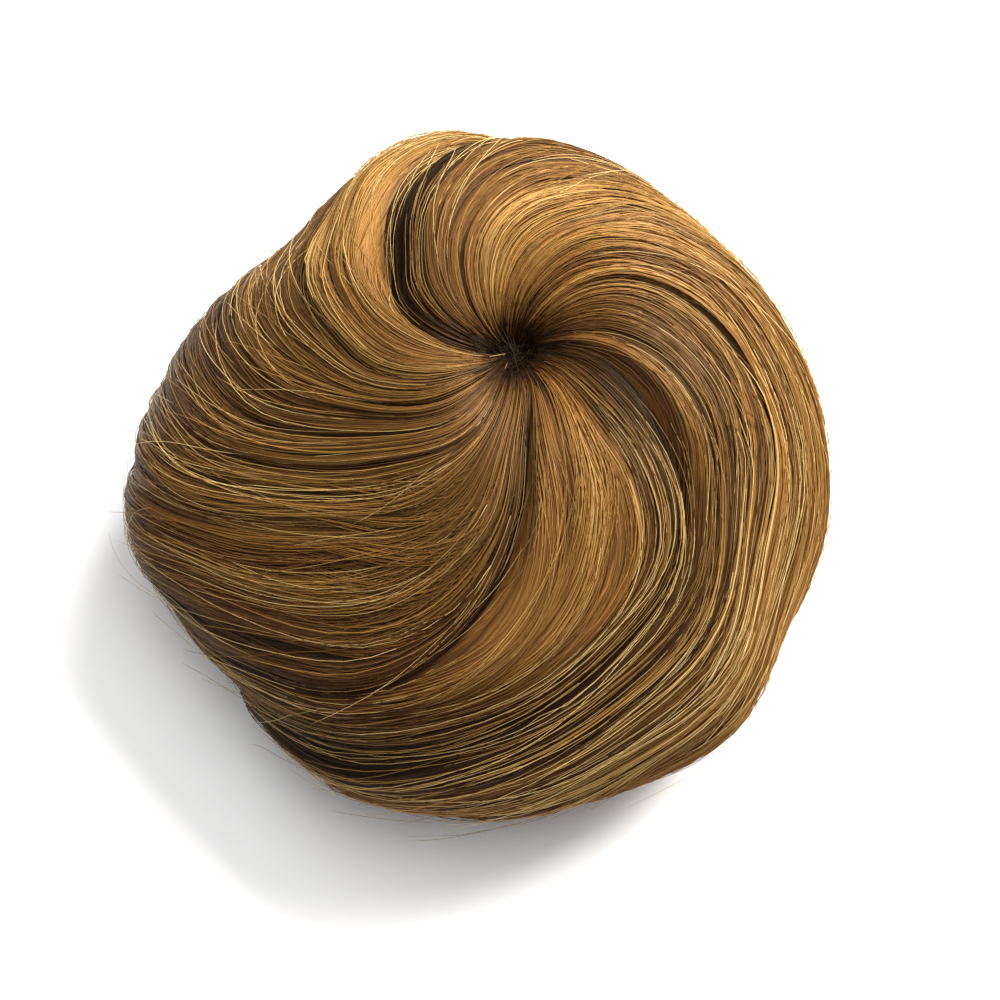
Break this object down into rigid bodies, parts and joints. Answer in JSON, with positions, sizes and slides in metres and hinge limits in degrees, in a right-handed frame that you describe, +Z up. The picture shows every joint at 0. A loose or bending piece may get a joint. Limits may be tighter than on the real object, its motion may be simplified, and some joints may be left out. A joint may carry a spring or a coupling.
{
  "type": "top knot hairpiece",
  "caption": "Swirled bun of synthetic hair locks wound round a whorl, on a domed net cap with an open hollow and a comb sewn inside its rim.",
  "frame": {"origin": "centre of the bun's footprint on the surface it lies on", "axes": "+Z up out of the cap, +Y to the bun's back, the far edge in the picture, +X to its right"},
  "size_m": [0.1184, 0.1198, 0.0566],
  "materials": {
    "hair": "silky golden brown synthetic hair",
    "cap_net": "dull knitted net with an elastic rim",
    "comb_plastic": "smooth moulded plastic"
  },
  "bodies": {
    "root": {"lock_crown": "hair", "lock_top": "hair", "lock_top_right": "hair", "lock_right_shoulder": "hair", "lock_right": "hair", "lock_lower_right": "hair", "lock_bottom_outer": "hair", "lock_bottom_inner": "hair", "lock_front_right": "hair", "lock_front": "hair", "lock_fan_low": "hair", "lock_fan_middle": "hair", "lock_fan_high": "hair", "lock_left_lobe": "hair", "lock_upper_left": "hair", "base_cap": "cap_net", "comb": "comb_plastic"}
  },
  "joints": []
}
